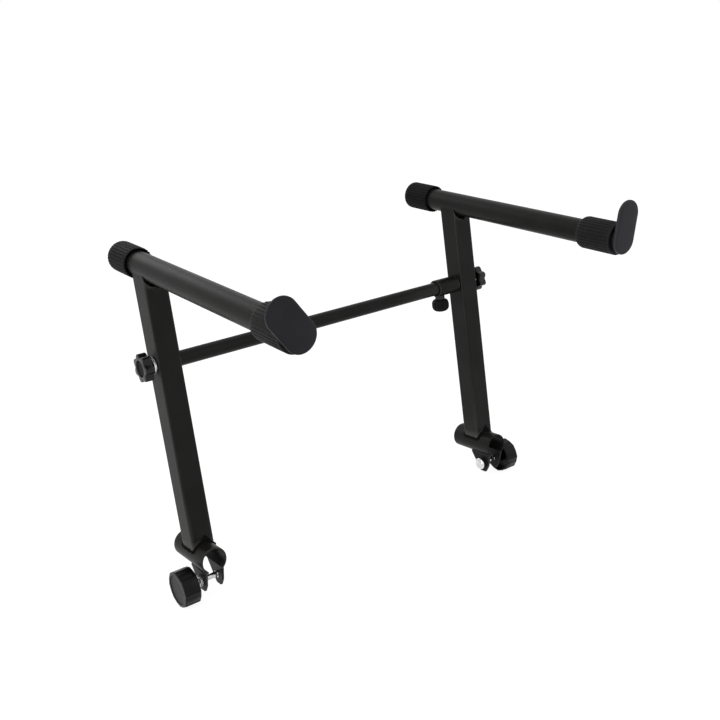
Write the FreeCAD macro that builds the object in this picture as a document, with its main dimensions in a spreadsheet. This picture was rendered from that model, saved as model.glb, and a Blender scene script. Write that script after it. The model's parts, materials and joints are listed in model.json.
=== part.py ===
import FreeCAD, Part
import os
import re
import Sketcher

# A clamp-on second tier for a keyboard stand: two side frames joined by a telescoping crossbar.
# Each side frame is a padded arm on a square upright with a split clamp at its foot.
# Frame: origin at the centre of the left clamp's bore, +X to the right clamp, +Y to the back along the
# bore, +Z up. Lengths are in millimetres and angles in degrees.

doc = FreeCAD.newDocument("keyboard_tier")
sheet = doc.addObject("Spreadsheet::Sheet", "Sizes")

SIZES = {
    # side frames
    "arm_spacing": 512,
    "pivot_height": 262.5,
    "arm_above_pivot": 122.5,
    "upright_lean": 3.2,
    "arm_tilt": 5.7,
    "arm_radius": 16,
    "arm_wall": 1.5,
    "arm_offset": 9.5,
    "upright_width": 32,
    "upright_wall": 1.5,
    "upright_corner": 3,
    "upright_top_drop": 5,
    "weld_size": 3,
    # arm caps
    "back_cap_radius": 20.3,
    "back_cap_reach": 86.3,
    "back_cap_length": 51,
    "back_cap_end": 3,
    "back_cap_round": 3,
    "front_cap_reach": 333.2,
    "grip_radius": 21.4,
    "grip_length": 58.5,
    "grip_end": 2.5,
    "grip_taper": 6.6,
    "grip_lip": 0.6,
    "lip_neck_radius": 15,
    "lip_neck_length": 5.3,
    "lip_thickness": 4,
    "lip_radius": 19,
    "lip_height": 32.6,
    "left_lip_turn": 36.5,
    "right_lip_turn": 9.7,
    # clamps
    "clamp_bore_radius": 16.1,
    "clamp_wall": 2.3,
    "clamp_length": 80,
    "slot_back": 8,
    "ear_gap": 21,
    "ear_thickness": 3,
    "ear_root_back": 4,
    "ear_root_front": 37.5,
    "ear_depth": 45,
    "bolt_drop": 30.6,
    "bolt_forward": 19.8,
    # clamp bolts and knobs
    "bolt_radius": 4,
    "bolt_length": 50,
    "bolt_head_radius": 9.5,
    "bolt_head_height": 4.7,
    "bolt_neck_side": 8,
    "bolt_neck_length": 4.5,
    "left_bolt_standoff": 0,
    "right_bolt_standoff": 4.7,
    "clamp_washer_radius": 8,
    "washer_thickness": 1.6,
    "washer_gap": 0.1,
    "left_knob_gap": 7,
    "right_knob_gap": 0.2,
    "clamp_knob_radius": 25.4,
    "clamp_knob_length": 22.6,
    "clamp_knob_wall": 3.5,
    "clamp_knob_face": 4,
    "clamp_knob_round": 2.5,
    "clamp_knob_rim": 4,
    "clamp_knob_recess": 1.2,
    "clamp_hub_radius": 9.5,
    "clamp_hub_reach": 2,
    "insert_radius": 7,
    "insert_length": 14,
    # pivot knobs
    "star_washer_radius": 11.5,
    "star_gap": 0.3,
    "star_radius": 19,
    "star_lobes": 7,
    "lobe_radius": 5,
    "star_core_radius": 15.5,
    "star_thickness": 12,
    "star_hub_radius": 9,
    "star_hub_length": 3,
    "star_recess_radius": 11,
    "star_recess": 1.5,
    "stud_cover": 4,
    # crossbar and sleeve
    "crossbar_radius": 10,
    "crossbar_wall": 1.5,
    "crossbar_end_gap": 16,
    "crossbar_plug_length": 14,
    "sleeve_wall": 2.9,
    "sleeve_length": 40,
    "sleeve_plug_length": 8,
    "thumb_place": 31.6,
    "thumb_radius": 3,
    "thumb_nut_width": 13,
    "thumb_nut_reach": 4.2,
    "thumb_knob_radius": 13.2,
    "thumb_knob_height": 18.5,
    "thumb_knob_round": 8,
    "thumb_knob_socket": 9,
    # clearances
    "cap_clearance": 0.08,
    "sleeve_clearance": 0.08,
    "thread_clearance": 0.05,
    "insert_clearance": 0.06,
    "pivot_clearance": 0.3,
    "hole_clearance": 0.3,
    "tip_clearance": 0.3,
    "thumb_clearance": 0.7,
}
for row, (alias, number) in enumerate(SIZES.items(), start=1):
    sheet.set("A%d" % row, alias)
    sheet.set("B%d" % row, str(number))
    sheet.setAlias("B%d" % row, alias)
doc.recompute()


def bind(text):
    # the same expression with each size named as a cell of the sheet
    def cell(word):
        return "Sizes." + word.group(0) if word.group(0) in SIZES else word.group(0)
    return re.sub(r"[a-z_]+", cell, text)


def value(text):
    return float(sheet.evalExpression(bind(text)))


# sketches and features

def new_body(label):
    body = doc.addObject("PartDesign::Body", label)
    body.Label = label
    return body


def new_sketch(body, role, lift="0", along="0", turn="0"):
    # a sketch on one of the body's own planes, moved off it by lift and along its own Y by along,
    # then turned about its own X
    sketch = body.newObject("Sketcher::SketchObject", body.Label + "_sketch")
    plane = next(item for item in body.Origin.OriginFeatures if item.Role == role)
    sketch.AttachmentSupport = (plane, [""])
    sketch.MapMode = "FlatFace"
    sketch.AttachmentOffset = FreeCAD.Placement(
        FreeCAD.Vector(0, value(along), value(lift)),
        FreeCAD.Rotation(FreeCAD.Vector(1, 0, 0), value(turn)))
    sketch.setExpression("AttachmentOffset.Base.y", bind(along))
    sketch.setExpression("AttachmentOffset.Base.z", bind(lift))
    return sketch


def fix_point(sketch, item, end, across, up):
    # one end of a line, or the centre of a circle, held at two sizes from the sketch's origin
    for kind, axis, text in (("DistanceX", -2, across), ("DistanceY", -1, up)):
        if text == "0":
            sketch.addConstraint(Sketcher.Constraint("PointOnObject", item, end, axis))
        else:
            number = sketch.addConstraint(Sketcher.Constraint(kind, -1, 1, item, end, value(text)))
            sketch.setExpression("Constraints[%d]" % number, bind(text))


def add_circle(sketch, radius, across="0", up="0"):
    centre = FreeCAD.Vector(value(across), value(up), 0)
    item = sketch.addGeometry(Part.Circle(centre, FreeCAD.Vector(0, 0, 1), value(radius)))
    fix_point(sketch, item, 3, across, up)
    number = sketch.addConstraint(Sketcher.Constraint("Radius", item, value(radius)))
    sketch.setExpression("Constraints[%d]" % number, bind(radius))
    return item


def add_outline(sketch, points):
    # a closed outline of straight sides through points given as pairs of sizes
    spots = [FreeCAD.Vector(value(across), value(up), 0) for across, up in points]
    first = sketch.GeometryCount
    for index, spot in enumerate(spots):
        sketch.addGeometry(Part.LineSegment(spot, spots[(index + 1) % len(spots)]))
    for index, (across, up) in enumerate(points):
        sketch.addConstraint(Sketcher.Constraint(
            "Coincident", first + index, 2, first + (index + 1) % len(points), 1))
        fix_point(sketch, first + index, 1, across, up)


def add_box(sketch, low_across, low_up, high_across, high_up):
    add_outline(sketch, [
        (low_across, low_up), (high_across, low_up), (high_across, high_up), (low_across, high_up)])


def extrude(body, kind, sketch, length, both_ways=False, other_way=False):
    feature = body.newObject("PartDesign::" + kind, body.Label + "_" + kind.lower())
    feature.Profile = sketch
    feature.Length = value(length)
    feature.setExpression("Length", bind(length))
    feature.Midplane = both_ways
    feature.Reversed = other_way
    before = body.Shape.Volume if kind == "Pocket" else 0
    doc.recompute()
    if kind == "Pocket" and body.Shape.Volume > before - 0.001:
        raise ValueError("nothing was cut from " + body.Label)
    return feature


def spin(body, sketch):
    feature = body.newObject("PartDesign::Revolution", body.Label + "_revolution")
    feature.Profile = sketch
    feature.ReferenceAxis = (sketch, ["V_Axis"])
    feature.Angle = 360
    doc.recompute()
    return feature


def repeat_round(body, feature, sketch, count):
    pattern = body.newObject("PartDesign::PolarPattern", body.Label + "_pattern")
    pattern.Originals = [feature]
    pattern.Axis = (sketch, ["N_Axis"])
    pattern.Angle = 360
    pattern.Occurrences = int(value(count))
    pattern.setExpression("Occurrences", bind(count))
    body.Tip = pattern
    doc.recompute()
    return pattern


def round_edges(body, feature, radius, wanted):
    # rounds the edges that the wanted test picks
    names = []
    for number, edge in enumerate(feature.Shape.Edges, start=1):
        if wanted(edge):
            names.append("Edge%d" % number)
    fillet = body.newObject("PartDesign::Fillet", body.Label + "_fillet")
    fillet.Base = (feature, names)
    fillet.Radius = value(radius)
    fillet.setExpression("Radius", bind(radius))
    doc.recompute()
    return fillet


def round_at(radius, height):
    # picks a circular edge of the given radius at the given height along the body's Z axis
    def wanted(edge):
        if not isinstance(edge.Curve, Part.Circle):
            return False
        same_radius = abs(edge.Curve.Radius - value(radius)) < 0.001
        return same_radius and abs(edge.Curve.Center.z - value(height)) < 0.001
    return wanted


def solid_cylinder(label, radius, height, base, turn):
    cylinder = doc.addObject("Part::Cylinder", label)
    cylinder.setExpression("Radius", bind(radius))
    cylinder.setExpression("Height", bind(height))
    cylinder.Placement = FreeCAD.Placement(base, turn)
    return cylinder


def centred_box(label, width, height, base, turn):
    # a square bar along its own Z, centred on its own X and Y
    box = doc.addObject("Part::Box", label)
    box.setExpression("Length", bind(width))
    box.setExpression("Width", bind(width))
    box.setExpression("Height", bind(height))
    half = value(width) / 2
    box.Placement = FreeCAD.Placement(base - turn.multVec(FreeCAD.Vector(half, half, 0)), turn)
    return box


def combine(label, kind, first, second):
    result = doc.addObject("Part::" + kind, label)
    result.Base = first
    result.Tool = second
    result.Label = label
    return result


def finish(item, base, turn=FreeCAD.Rotation()):
    item.Placement = FreeCAD.Placement(base, turn)
    nodes.append(item)
    return item


nodes = []

# places and directions

X_AXIS = FreeCAD.Vector(1, 0, 0)
Y_AXIS = FreeCAD.Vector(0, 1, 0)
up_upright = FreeCAD.Rotation(X_AXIS, -value("upright_lean"))
back_along_arm = FreeCAD.Rotation(X_AXIS, value("arm_tilt") - 90)
front_along_arm = back_along_arm.multiply(FreeCAD.Rotation(X_AXIS, 180))
along_x = FreeCAD.Rotation(Y_AXIS, 90)
against_x = FreeCAD.Rotation(Y_AXIS, -90)
downwards = FreeCAD.Rotation(X_AXIS, 180)

pivot = up_upright.multVec(FreeCAD.Vector(0, 0, value("pivot_height")))
arm_joint = up_upright.multVec(FreeCAD.Vector(0, 0, value("pivot_height + arm_above_pivot")))
clamp_bolt_axis = FreeCAD.Vector(0, -value("bolt_forward"), -value("bolt_drop"))
crossbar_start = "upright_width / 2 + pivot_clearance"
crossbar_length = "arm_spacing - upright_width - crossbar_end_gap - pivot_clearance"
sleeve_bore = "crossbar_radius + sleeve_clearance"
sleeve_outside = "crossbar_radius + sleeve_clearance + sleeve_wall"
clamp_radius = "clamp_bore_radius + clamp_wall"
sleeve_mouth = value("arm_spacing - upright_width / 2 - pivot_clearance - sleeve_length")


def along_arm(distance, shift):
    # a point on the arm's axis, measured backwards from the upright
    return arm_joint + back_along_arm.multVec(FreeCAD.Vector(0, 0, distance + shift))


# arms, uprights and caps

def make_tube(label, outside, inside, length):
    body = new_body(label)
    sketch = new_sketch(body, "XY_Plane")
    add_circle(sketch, outside)
    add_circle(sketch, inside)
    extrude(body, "Pad", sketch, length)
    return body


def make_upright(label):
    # a square tube, coped to the clamp tube at its foot and to the arm at its head
    body = new_body(label)
    sketch = new_sketch(body, "XY_Plane")
    half = "upright_width / 2"
    add_box(sketch, "-" + half, "-" + half, half, half)
    bar = extrude(body, "Pad", sketch, "pivot_height + arm_above_pivot - upright_top_drop")
    round_edges(body, bar, "upright_corner", lambda edge: edge.BoundBox.ZLength > value("upright_width"))
    bore = new_sketch(body, "XY_Plane")
    inner = "upright_width / 2 - upright_wall"
    add_box(bore, "-(" + inner + ")", "-(" + inner + ")", inner, inner)
    extrude(body, "Pocket", bore, "pivot_height + arm_above_pivot", other_way=True)
    foot = new_sketch(body, "XZ_Plane", turn="upright_lean")
    add_circle(foot, clamp_radius)
    extrude(body, "Pocket", foot, "clamp_length", both_ways=True)
    head = new_sketch(
        body, "XZ_Plane", along="pivot_height + arm_above_pivot", turn="upright_lean + arm_tilt")
    add_circle(head, "arm_radius")
    extrude(body, "Pocket", head, "4 * upright_width", both_ways=True)
    hole = new_sketch(body, "YZ_Plane")
    add_circle(hole, "bolt_radius + hole_clearance", up="pivot_height")
    extrude(body, "Pocket", hole, "2 * upright_width", both_ways=True)
    return body


def make_weld(label, place, radius, base, turn, length):
    # a bead in the corner between the square upright and a round tube
    height = "pivot_height + arm_above_pivot - upright_top_drop"
    wide = centred_box(label + "_wide", "upright_width + 2 * weld_size", height, place, up_upright)
    narrow = centred_box(label + "_narrow", "upright_width", height, place, up_upright)
    reach = "max(" + radius + "; upright_width / 2) + weld_size"
    thick = solid_cylinder(label + "_thick", reach, length, base, turn)
    thin = solid_cylinder(label + "_thin", radius, length, base, turn)
    corner = combine(label + "_corner", "Common", wide, thick)
    outside = combine(label + "_outside", "Cut", corner, narrow)
    return combine(label, "Cut", outside, thin)


def make_back_cap(label):
    body = new_body(label)
    sketch = new_sketch(body, "XY_Plane")
    add_circle(sketch, "back_cap_radius")
    plug = extrude(body, "Pad", sketch, "back_cap_length")
    rounded = round_edges(body, plug, "back_cap_round", round_at("back_cap_radius", "back_cap_length"))
    body.Tip = rounded
    bore = new_sketch(body, "XY_Plane")
    add_circle(bore, "arm_radius")
    extrude(body, "Pocket", bore, "back_cap_length - back_cap_end", other_way=True)
    return body


def make_front_cap(label):
    # a tapered grip, a neck and an upright lip with round ends, all in one moulding
    body = new_body(label)
    bore = "arm_radius + cap_clearance"
    neck_end = "grip_length + lip_neck_length"
    section = new_sketch(body, "XZ_Plane")
    add_outline(section, [
        (bore, "0"),
        (bore + " + grip_lip", "0"),
        ("grip_radius", "grip_taper"),
        ("grip_radius", "grip_length"),
        ("lip_neck_radius", "grip_length"),
        ("lip_neck_radius", neck_end),
        ("0", neck_end),
        ("0", "grip_length - grip_end"),
        (bore, "grip_length - grip_end"),
    ])
    spin(body, section)
    for lift in ("0", "lip_height"):
        sketch = new_sketch(body, "XY_Plane", lift=neck_end)
        add_circle(sketch, "lip_radius", up=lift)
        extrude(body, "Pad", sketch, "lip_thickness")
    sketch = new_sketch(body, "XY_Plane", lift=neck_end)
    add_box(sketch, "-lip_radius", "0", "lip_radius", "lip_height")
    extrude(body, "Pad", sketch, "lip_thickness")
    return body


# clamps

def make_clamp_tube(label):
    # a stub of tube, split underneath from its front end
    body = new_body(label)
    sketch = new_sketch(body, "XZ_Plane")
    add_circle(sketch, clamp_radius)
    add_circle(sketch, "clamp_bore_radius")
    extrude(body, "Pad", sketch, "clamp_length", both_ways=True)
    slot = new_sketch(body, "XY_Plane")
    add_box(slot, "-ear_gap / 2", "-clamp_length", "ear_gap / 2", "slot_back")
    extrude(body, "Pocket", slot, clamp_radius + " + clamp_wall")
    return body


def make_ear(label, offset, square_hole):
    # a flat plate that hangs from the edge of the slot, with its lower end cut to a blunt point
    body = new_body(label)
    sketch = new_sketch(body, "YZ_Plane", lift=offset)
    add_outline(sketch, [
        ("ear_root_back", "-clamp_bore_radius / 2"),
        ("ear_root_back", "-clamp_bore_radius"),
        ("-bolt_forward / 4", "-ear_depth * 2 / 3"),
        ("-bolt_forward * 3 / 4", "-ear_depth"),
        ("-bolt_forward * 4 / 3", "-ear_depth"),
        ("-bolt_forward * 5 / 3", "-bolt_drop - bolt_radius"),
        ("-ear_root_front", "-clamp_bore_radius"),
        ("-ear_root_front", "-clamp_bore_radius / 2"),
    ])
    extrude(body, "Pad", sketch, "ear_thickness")
    cope = new_sketch(body, "XZ_Plane")
    add_circle(cope, clamp_radius)
    extrude(body, "Pocket", cope, "2 * clamp_length", both_ways=True)
    hole = new_sketch(body, "YZ_Plane")
    if square_hole:
        half = "(bolt_neck_side / 2 + hole_clearance)"
        add_box(hole, "-bolt_forward - " + half, "-bolt_drop - " + half,
                "-bolt_forward + " + half, "-bolt_drop + " + half)
    else:
        add_circle(hole, "bolt_radius + hole_clearance", across="-bolt_forward", up="-bolt_drop")
    extrude(body, "Pocket", hole, "4 * ear_gap", both_ways=True)
    return body


def make_bolt(label):
    # a carriage bolt along +Z: domed head below zero, square neck and round shank above
    body = new_body(label)
    section = new_sketch(body, "XZ_Plane")
    add_outline(section, [
        ("0", "-bolt_head_height"),
        ("bolt_head_radius / 2", "-bolt_head_height * 7 / 8"),
        ("bolt_head_radius * 7 / 8", "-bolt_head_height / 2"),
        ("bolt_head_radius", "-bolt_head_height / 8"),
        ("bolt_head_radius", "0"),
        ("bolt_radius", "0"),
        ("bolt_radius", "bolt_length"),
        ("0", "bolt_length"),
    ])
    spin(body, section)
    neck = new_sketch(body, "XY_Plane")
    half = "bolt_neck_side / 2"
    add_box(neck, "-" + half, "-" + half, half, half)
    extrude(body, "Pad", neck, "bolt_neck_length")
    return body


def make_washers(label, radius, base, turn):
    # two flat washers, one node
    rings = []
    for index in range(2):
        start = index * value("washer_thickness + washer_gap") + value("washer_gap")
        spot = base + turn.multVec(FreeCAD.Vector(0, 0, start))
        name = "%s_%d" % (label, index + 1)
        disc = solid_cylinder(name + "_disc", radius, "washer_thickness", spot, turn)
        hole = solid_cylinder(name + "_hole", "bolt_radius + hole_clearance", "washer_thickness", spot, turn)
        rings.append(combine(name, "Cut", disc, hole))
    pair = doc.addObject("Part::Compound", label)
    pair.Label = label
    pair.Links = rings
    nodes.append(pair)
    return pair


def make_clamp_knob(label):
    # a hollow cup with a hub; z is 0 at the cup's rim and the closed face is outwards
    body = new_body(label)
    socket = "insert_radius + insert_clearance"
    inside = "clamp_knob_radius - clamp_knob_wall"
    cup_end = "clamp_knob_length - clamp_knob_recess - clamp_knob_face"
    face = "clamp_knob_length - clamp_knob_recess"
    insert_end = "insert_length + insert_clearance - clamp_hub_reach"
    section = new_sketch(body, "XZ_Plane")
    add_outline(section, [
        (socket, "-clamp_hub_reach"),
        ("clamp_hub_radius", "-clamp_hub_reach"),
        ("clamp_hub_radius", cup_end),
        (inside, cup_end),
        (inside, "0"),
        ("clamp_knob_radius", "0"),
        ("clamp_knob_radius", "clamp_knob_length"),
        ("clamp_knob_radius - clamp_knob_rim", "clamp_knob_length"),
        ("clamp_knob_radius - clamp_knob_rim", face),
        ("0", face),
        ("0", "clamp_knob_length - clamp_knob_recess - clamp_knob_face / 2"),
        ("bolt_radius + hole_clearance", "clamp_knob_length - clamp_knob_recess - clamp_knob_face / 2"),
        ("bolt_radius + hole_clearance", insert_end),
        (socket, insert_end),
    ])
    cup = spin(body, section)
    round_edges(body, cup, "clamp_knob_round", round_at("clamp_knob_radius", "clamp_knob_length"))
    return body


# pivot knobs and thumb screw

def make_star_knob(label):
    # a hub, then a lobed disc with a shallow round recess in its outer face
    body = new_body(label)
    hub = new_sketch(body, "XY_Plane")
    add_circle(hub, "star_hub_radius")
    extrude(body, "Pad", hub, "star_hub_length + star_thickness")
    core = new_sketch(body, "XY_Plane", lift="star_hub_length")
    add_circle(core, "star_core_radius")
    extrude(body, "Pad", core, "star_thickness")
    lobe = new_sketch(body, "XY_Plane", lift="star_hub_length")
    add_circle(lobe, "lobe_radius", across="star_radius - lobe_radius")
    bump = extrude(body, "Pad", lobe, "star_thickness")
    repeat_round(body, bump, core, "star_lobes")
    recess = new_sketch(body, "XY_Plane", lift="star_hub_length + star_thickness")
    add_circle(recess, "star_recess_radius")
    extrude(body, "Pocket", recess, "star_recess")
    bore = new_sketch(body, "XY_Plane")
    add_circle(bore, "bolt_radius + insert_clearance")
    extrude(body, "Pocket", bore, "star_hub_length + star_thickness - stud_cover", other_way=True)
    return body


def make_thumb_knob(label):
    body = new_body(label)
    sketch = new_sketch(body, "XY_Plane")
    add_circle(sketch, "thumb_knob_radius")
    grip = extrude(body, "Pad", sketch, "thumb_knob_height")
    body.Tip = round_edges(body, grip, "thumb_knob_round", round_at("thumb_knob_radius", "thumb_knob_height"))
    bore = new_sketch(body, "XY_Plane")
    add_circle(bore, "thumb_radius + insert_clearance")
    extrude(body, "Pocket", bore, "thumb_knob_socket", other_way=True)
    return body


def make_rod(label, radius, length):
    body = new_body(label)
    sketch = new_sketch(body, "XY_Plane")
    add_circle(sketch, radius)
    extrude(body, "Pad", sketch, length)
    return body


# the two side frames

def make_side(side, place, outward, shift, lip_turn, standoff, knob_gap):
    def named(piece):
        return side + "_" + piece

    # arm and its caps
    tube_back = value("back_cap_reach - back_cap_end")
    tube_front = value("front_cap_reach - lip_thickness - lip_neck_length - grip_end - cap_clearance")
    arm_length = "back_cap_reach - back_cap_end + front_cap_reach - lip_thickness - lip_neck_length" \
                 " - grip_end - cap_clearance"
    arm = make_tube(named("arm_tube"), "arm_radius", "arm_radius - arm_wall", arm_length)
    finish(arm, place + along_arm(-tube_front, shift), back_along_arm)
    cap = make_back_cap(named("back_cap"))
    finish(cap, place + along_arm(tube_back - value("back_cap_length - back_cap_end"), shift), back_along_arm)
    front_cap = make_front_cap(named("front_cap"))
    cap_start = value("front_cap_reach - lip_thickness - lip_neck_length - grip_length")
    lip_side = FreeCAD.Rotation(FreeCAD.Vector(0, 0, 1), -outward * lip_turn)
    finish(front_cap, place + along_arm(-cap_start, shift), front_along_arm.multiply(lip_side))

    # upright, its welds and the clamp tube
    upright = make_upright(named("upright"))
    finish(upright, place, up_upright)
    arm_end = place + along_arm(-value("2 * upright_width"), 0)
    arm_weld = make_weld(
        named("arm_weld"), place, "arm_radius", arm_end, back_along_arm, "4 * upright_width")
    nodes.append(arm_weld)
    clamp_end = place + FreeCAD.Vector(0, -value("clamp_length / 2"), 0)
    clamp_weld = make_weld(
        named("clamp_weld"), place, clamp_radius, clamp_end, FreeCAD.Rotation(X_AXIS, -90), "clamp_length")
    nodes.append(clamp_weld)
    finish(make_clamp_tube(named("clamp_tube")), place)

    # ears, bolt, washers and knob
    towards_middle = "ear_gap / 2"
    towards_left = "-ear_gap / 2 - ear_thickness"
    inner, outer = (towards_middle, towards_left) if outward < 0 else (towards_left, towards_middle)
    finish(make_ear(named("clamp_inner_ear"), inner, True), place)
    finish(make_ear(named("clamp_outer_ear"), outer, False), place)
    out_turn = against_x if outward < 0 else along_x
    bolt_place = place + clamp_bolt_axis
    ear_face = value("ear_gap / 2 + ear_thickness")

    def out(distance):
        return FreeCAD.Vector(outward * distance, 0, 0)

    finish(make_bolt(named("clamp_bolt")), bolt_place - out(ear_face + standoff), out_turn)
    make_washers(named("clamp_washers"), "clamp_washer_radius", bolt_place + out(ear_face), out_turn)
    hub_face = ear_face + value("2 * (washer_thickness + washer_gap)") + knob_gap
    insert = make_tube(
        named("clamp_insert"), "insert_radius", "bolt_radius + thread_clearance", "insert_length")
    finish(insert, bolt_place + out(hub_face), out_turn)
    knob = make_clamp_knob(named("clamp_knob"))
    finish(knob, bolt_place + out(hub_face + value("clamp_hub_reach")), out_turn)

    # pivot knob with its stud and washers
    pivot_place = place + pivot
    upright_face = value("upright_width / 2")
    make_washers(named("star_washers"), "star_washer_radius", pivot_place + out(upright_face), out_turn)
    star_face = upright_face + value("2 * (washer_thickness + washer_gap) + star_gap")
    finish(make_star_knob(named("star_knob")), pivot_place + out(star_face), out_turn)
    plug = "crossbar_plug_length" if outward < 0 else "sleeve_plug_length"
    stud_length = "upright_width + pivot_clearance + " + plug + " + 2 * (washer_thickness + washer_gap)" \
                  " + star_gap + star_hub_length + star_thickness - stud_cover - insert_clearance"
    stud = make_rod(named("star_stud"), "bolt_radius", stud_length)
    finish(stud, pivot_place - out(upright_face + value("pivot_clearance + " + plug)), out_turn)


make_side("left", FreeCAD.Vector(0, 0, 0), -1, -value("arm_offset"),
          value("left_lip_turn"), value("left_bolt_standoff"), value("left_knob_gap"))
make_side("right", FreeCAD.Vector(value("arm_spacing"), 0, 0), 1, value("arm_offset"),
          value("right_lip_turn"), value("right_bolt_standoff"), value("right_knob_gap"))

# crossbar, sleeve and thumb screw

crossbar_place = pivot + FreeCAD.Vector(value(crossbar_start), 0, 0)
crossbar = make_tube("crossbar_tube", "crossbar_radius", "crossbar_radius - crossbar_wall", crossbar_length)
finish(crossbar, crossbar_place, along_x)
crossbar_plug = make_tube(
    "crossbar_plug", "crossbar_radius - crossbar_wall", "bolt_radius + thread_clearance",
    "crossbar_plug_length")
finish(crossbar_plug, crossbar_place, along_x)

sleeve_place = pivot + FreeCAD.Vector(sleeve_mouth, 0, 0)
sleeve = make_tube("sleeve_tube", sleeve_outside, sleeve_bore, "sleeve_length")
screw_hole = new_sketch(sleeve, "YZ_Plane")
add_circle(screw_hole, "thumb_radius + hole_clearance", up="sleeve_length - thumb_place")
extrude(sleeve, "Pocket", screw_hole, "2 * crossbar_radius", other_way=True)
finish(sleeve, sleeve_place, along_x)
sleeve_plug = make_tube("sleeve_plug", sleeve_bore, "bolt_radius + thread_clearance", "sleeve_plug_length")
finish(sleeve_plug, sleeve_place + FreeCAD.Vector(value("sleeve_length - sleeve_plug_length"), 0, 0), along_x)

screw_place = pivot + FreeCAD.Vector(sleeve_mouth + value("sleeve_length - thumb_place"), 0, 0)
nut_blank = doc.addObject("Part::Prism", "sleeve_nut_blank")
nut_blank.Polygon = 6
nut_blank.setExpression("Circumradius", bind("thumb_nut_width / sqrt(3)"))
nut_blank.setExpression("Height", bind(sleeve_outside + " + thumb_nut_reach"))
nut_blank.Placement = FreeCAD.Placement(screw_place, downwards)
nut_hole = solid_cylinder(
    "sleeve_nut_hole", "thumb_radius + thread_clearance", sleeve_outside + " + thumb_nut_reach",
    screw_place, downwards)
nut_seat = solid_cylinder("sleeve_nut_seat", sleeve_outside, "sleeve_length", sleeve_place, along_x)
drilled = combine("sleeve_nut_drilled", "Cut", nut_blank, nut_hole)
nodes.append(combine("sleeve_nut", "Cut", drilled, nut_seat))

knob_drop = value(sleeve_outside + " + thumb_nut_reach + thumb_clearance")
tip_drop = value("crossbar_radius + tip_clearance")
thumb_length = sleeve_outside + " + thumb_nut_reach + thumb_clearance + thumb_knob_socket" \
               " - insert_clearance - crossbar_radius - tip_clearance"
stud = make_rod("thumb_stud", "thumb_radius", thumb_length)
finish(stud, screw_place - FreeCAD.Vector(0, 0, tip_drop), downwards)
finish(make_thumb_knob("thumb_knob"), screw_place - FreeCAD.Vector(0, 0, knob_drop), downwards)

# checks and files

doc.recompute()
for item in doc.Objects:
    if "Invalid" in item.State or "Error" in item.State:
        raise ValueError("%s did not build: %s" % (item.Label, item.State))
for node in nodes:
    if node.Shape.isNull() or not node.Shape.isValid():
        raise ValueError("%s has no valid shape" % node.Label)

os.makedirs("parts", exist_ok=True)
for node in nodes:
    node.Shape.exportStep("parts/%s.step" % node.Label)
    print("%-24s solids %d  volume %.1f" % (node.Label, len(node.Shape.Solids), node.Shape.Volume))
print("nodes %d" % len(nodes))
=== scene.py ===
import json
import math

import bmesh
import bpy
from mathutils import Matrix, Vector


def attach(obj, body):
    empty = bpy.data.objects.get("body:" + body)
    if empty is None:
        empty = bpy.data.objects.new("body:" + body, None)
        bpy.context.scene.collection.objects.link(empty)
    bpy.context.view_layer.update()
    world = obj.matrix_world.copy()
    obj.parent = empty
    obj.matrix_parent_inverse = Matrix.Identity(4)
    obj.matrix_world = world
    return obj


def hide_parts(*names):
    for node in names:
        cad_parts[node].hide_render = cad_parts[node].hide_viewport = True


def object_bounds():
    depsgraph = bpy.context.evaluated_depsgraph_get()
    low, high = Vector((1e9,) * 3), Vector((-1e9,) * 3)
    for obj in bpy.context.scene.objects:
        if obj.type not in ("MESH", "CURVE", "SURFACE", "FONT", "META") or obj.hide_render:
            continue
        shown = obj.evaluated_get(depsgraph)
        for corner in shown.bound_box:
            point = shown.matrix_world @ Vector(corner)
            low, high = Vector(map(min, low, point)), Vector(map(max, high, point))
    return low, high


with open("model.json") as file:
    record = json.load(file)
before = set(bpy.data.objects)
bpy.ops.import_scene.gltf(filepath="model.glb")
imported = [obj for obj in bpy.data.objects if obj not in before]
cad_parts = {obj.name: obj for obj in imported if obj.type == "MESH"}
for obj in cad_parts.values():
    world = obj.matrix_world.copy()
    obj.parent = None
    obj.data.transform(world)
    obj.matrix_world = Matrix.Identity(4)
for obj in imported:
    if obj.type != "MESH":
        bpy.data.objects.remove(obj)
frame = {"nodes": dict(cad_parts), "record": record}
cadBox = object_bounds()

# Pieces are modelled in millimetres in a frame of their own and placed in the row frame in metres.
toMetres = Matrix.Scale(0.001, 4)
sides = {"left": -1, "right": 1}

stand = {
    "spacing": 512,  # between the two side frames
    "pivotHeight": 262.5,  # along the upright, from the clamp's axis
    "armHeight": 385,
    "lean": 3.2,  # of the uprights, in degrees, backwards
    "tilt": 5.7,  # of the arms, in degrees, up at the back
    "armShift": {"left": -9.5, "right": 9.5},  # of the arm along itself, backwards
}
lean = math.radians(stand["lean"])
tilt = math.radians(stand["tilt"])


def axes(x, y, z, origin):
    placed = Matrix((x, y, z)).transposed().to_4x4()
    placed.translation = Vector(origin)
    return placed


def sideX(side):
    return 0 if side == "left" else stand["spacing"]


def upAlong(side, height):
    return Vector((sideX(side), height * math.sin(lean), height * math.cos(lean)))


def uprightPlace(side):
    return axes((1, 0, 0), (0, math.cos(lean), -math.sin(lean)), (0, math.sin(lean), math.cos(lean)),
                (sideX(side), 0, 0))


def armPlace(side, forward):
    # z runs to the front along the arm, y is the arm's top; forward is measured from the upright
    front = Vector((0, -math.cos(tilt), -math.sin(tilt)))
    origin = upAlong(side, stand["armHeight"]) + front * (forward - stand["armShift"][side])
    return axes((1, 0, 0), (0, -math.sin(tilt), math.cos(tilt)), front, origin)


def outwards(side, point, distance):
    # z points away from the other frame, from a point beside the frame's middle plane
    way = sides[side]
    return axes((0, way, 0), (0, 0, 1), (way, 0, 0), point + Vector((way * distance, 0, 0)))


def linkNew(name, data):
    made = bpy.data.objects.new(name, data)
    bpy.context.scene.collection.objects.link(made)
    return made


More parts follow.
